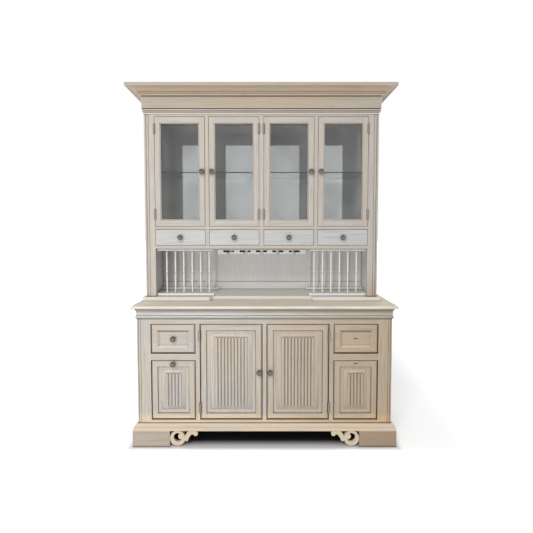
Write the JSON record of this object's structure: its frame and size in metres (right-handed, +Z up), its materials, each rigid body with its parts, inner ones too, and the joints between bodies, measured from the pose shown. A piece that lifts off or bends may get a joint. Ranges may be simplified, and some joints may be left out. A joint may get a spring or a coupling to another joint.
{
  "type": "buffet and hutch",
  "caption": "Painted wooden buffet and hutch: glass doors over drawers, plate racks and a stemware rack in an open niche, reeded doors and deep drawers below.",
  "frame": {"origin": "on the floor, in the middle of the width and of the depth", "axes": "+Z up, +X to the viewer's right, the front faces -Y"},
  "size_m": [1.664, 0.524, 2.215],
  "materials": {
    "painted_wood": "satin antique paint",
    "glass": "clear",
    "mirror": "polished",
    "pewter": "aged pewter",
    "painted_iron": "painted over",
    "steel": "zinc plated"
  },
  "bodies": {
    "carcass": {"feet": "painted_wood", "scroll_brackets": "painted_wood", "base_moulding": "painted_wood", "buffet_sides": "painted_wood", "buffet_face_frame": "painted_wood", "buffet_inner_boards": "painted_wood", "drawer_runners": "painted_wood", "buffet_back": "painted_wood", "waist_moulding": "painted_wood", "buffet_top": "painted_wood", "buffet_shelf": "painted_wood", "hutch_deck": "painted_wood", "hutch_sides": "painted_wood", "hutch_face_frame": "painted_wood", "hutch_inner_boards": "painted_wood", "hutch_back": "painted_wood", "mirror_back": "mirror", "glass_shelves": "glass", "shelf_pins": "steel", "frieze": "painted_wood", "neck_moulding": "painted_wood", "crown_moulding": "painted_wood", "plate_rack_rails": "painted_wood", "plate_rack_spindles": "painted_wood", "stemware_rack": "painted_wood", "hinge_frame_leaves": "painted_iron"},
    "hutch_door_1": {"hutch_door_1_frame": "painted_wood", "hutch_door_1_glass": "glass", "hutch_door_1_fittings": "painted_iron"},
    "hutch_door_2": {"hutch_door_2_frame": "painted_wood", "hutch_door_2_glass": "glass", "hutch_door_2_fittings": "painted_iron"},
    "hutch_door_3": {"hutch_door_3_frame": "painted_wood", "hutch_door_3_glass": "glass", "hutch_door_3_fittings": "painted_iron"},
    "hutch_door_4": {"hutch_door_4_frame": "painted_wood", "hutch_door_4_glass": "glass", "hutch_door_4_fittings": "painted_iron"},
    "hutch_drawer_1": {"hutch_drawer_1": "painted_wood", "hutch_drawer_1_knob": "pewter"},
    "hutch_drawer_2": {"hutch_drawer_2": "painted_wood", "hutch_drawer_2_knob": "pewter"},
    "hutch_drawer_3": {"hutch_drawer_3": "painted_wood", "hutch_drawer_3_knob": "pewter"},
    "hutch_drawer_4": {"hutch_drawer_4": "painted_wood", "hutch_drawer_4_knob": "pewter"},
    "buffet_door_left": {"buffet_door_left_frame": "painted_wood", "buffet_door_left_panel": "painted_wood", "buffet_door_left_fittings": "painted_iron"},
    "buffet_drawer_left": {"buffet_drawer_left": "painted_wood", "buffet_drawer_left_knob": "pewter"},
    "deep_drawer_left": {"deep_drawer_left": "painted_wood", "deep_drawer_left_knob": "pewter"},
    "buffet_door_right": {"buffet_door_right_frame": "painted_wood", "buffet_door_right_panel": "painted_wood", "buffet_door_right_fittings": "painted_iron"},
    "buffet_drawer_right": {"buffet_drawer_right": "painted_wood"},
    "deep_drawer_right": {"deep_drawer_right": "painted_wood"}
  },
  "joints": [
    {"name": "hutch_door_1_swing", "type": "hinge", "parent": "carcass", "child": "hutch_door_1", "pos_m": [-0.67775, -0.0767, 1.6875], "axis": [0, 0, -1], "range_deg": [0, 110]},
    {"name": "hutch_door_2_swing", "type": "hinge", "parent": "carcass", "child": "hutch_door_2", "pos_m": [-0.01525, -0.0767, 1.6875], "axis": [0, 0, 1], "range_deg": [0, 85]},
    {"name": "hutch_door_3_swing", "type": "hinge", "parent": "carcass", "child": "hutch_door_3", "pos_m": [0.01525, -0.0767, 1.6875], "axis": [0, 0, -1], "range_deg": [0, 85]},
    {"name": "hutch_door_4_swing", "type": "hinge", "parent": "carcass", "child": "hutch_door_4", "pos_m": [0.67775, -0.0767, 1.6875], "axis": [0, 0, 1], "range_deg": [0, 110]},
    {"name": "hutch_drawer_1_pull", "type": "slide", "parent": "carcass", "child": "hutch_drawer_1", "axis": [0, -1, 0], "range_m": [0, 0.2]},
    {"name": "hutch_drawer_2_pull", "type": "slide", "parent": "carcass", "child": "hutch_drawer_2", "axis": [0, -1, 0], "range_m": [0, 0.2]},
    {"name": "hutch_drawer_3_pull", "type": "slide", "parent": "carcass", "child": "hutch_drawer_3", "axis": [0, -1, 0], "range_m": [0, 0.2]},
    {"name": "hutch_drawer_4_pull", "type": "slide", "parent": "carcass", "child": "hutch_drawer_4", "axis": [0, -1, 0], "range_m": [0, 0.2]},
    {"name": "buffet_door_left_swing", "type": "hinge", "parent": "carcass", "child": "buffet_door_left", "pos_m": [-0.37275, -0.2367, 0.454], "axis": [0, 0, -1], "range_deg": [0, 88]},
    {"name": "buffet_drawer_left_pull", "type": "slide", "parent": "carcass", "child": "buffet_drawer_left", "axis": [0, -1, 0], "range_m": [0, 0.33]},
    {"name": "deep_drawer_left_pull", "type": "slide", "parent": "carcass", "child": "deep_drawer_left", "axis": [0, -1, 0], "range_m": [0, 0.33]},
    {"name": "buffet_door_right_swing", "type": "hinge", "parent": "carcass", "child": "buffet_door_right", "pos_m": [0.41275, -0.2367, 0.454], "axis": [0, 0, 1], "range_deg": [0, 88]},
    {"name": "buffet_drawer_right_pull", "type": "slide", "parent": "carcass", "child": "buffet_drawer_right", "axis": [0, -1, 0], "range_m": [0, 0.33]},
    {"name": "deep_drawer_right_pull", "type": "slide", "parent": "carcass", "child": "deep_drawer_right", "axis": [0, -1, 0], "range_m": [0, 0.33]}
  ]
}
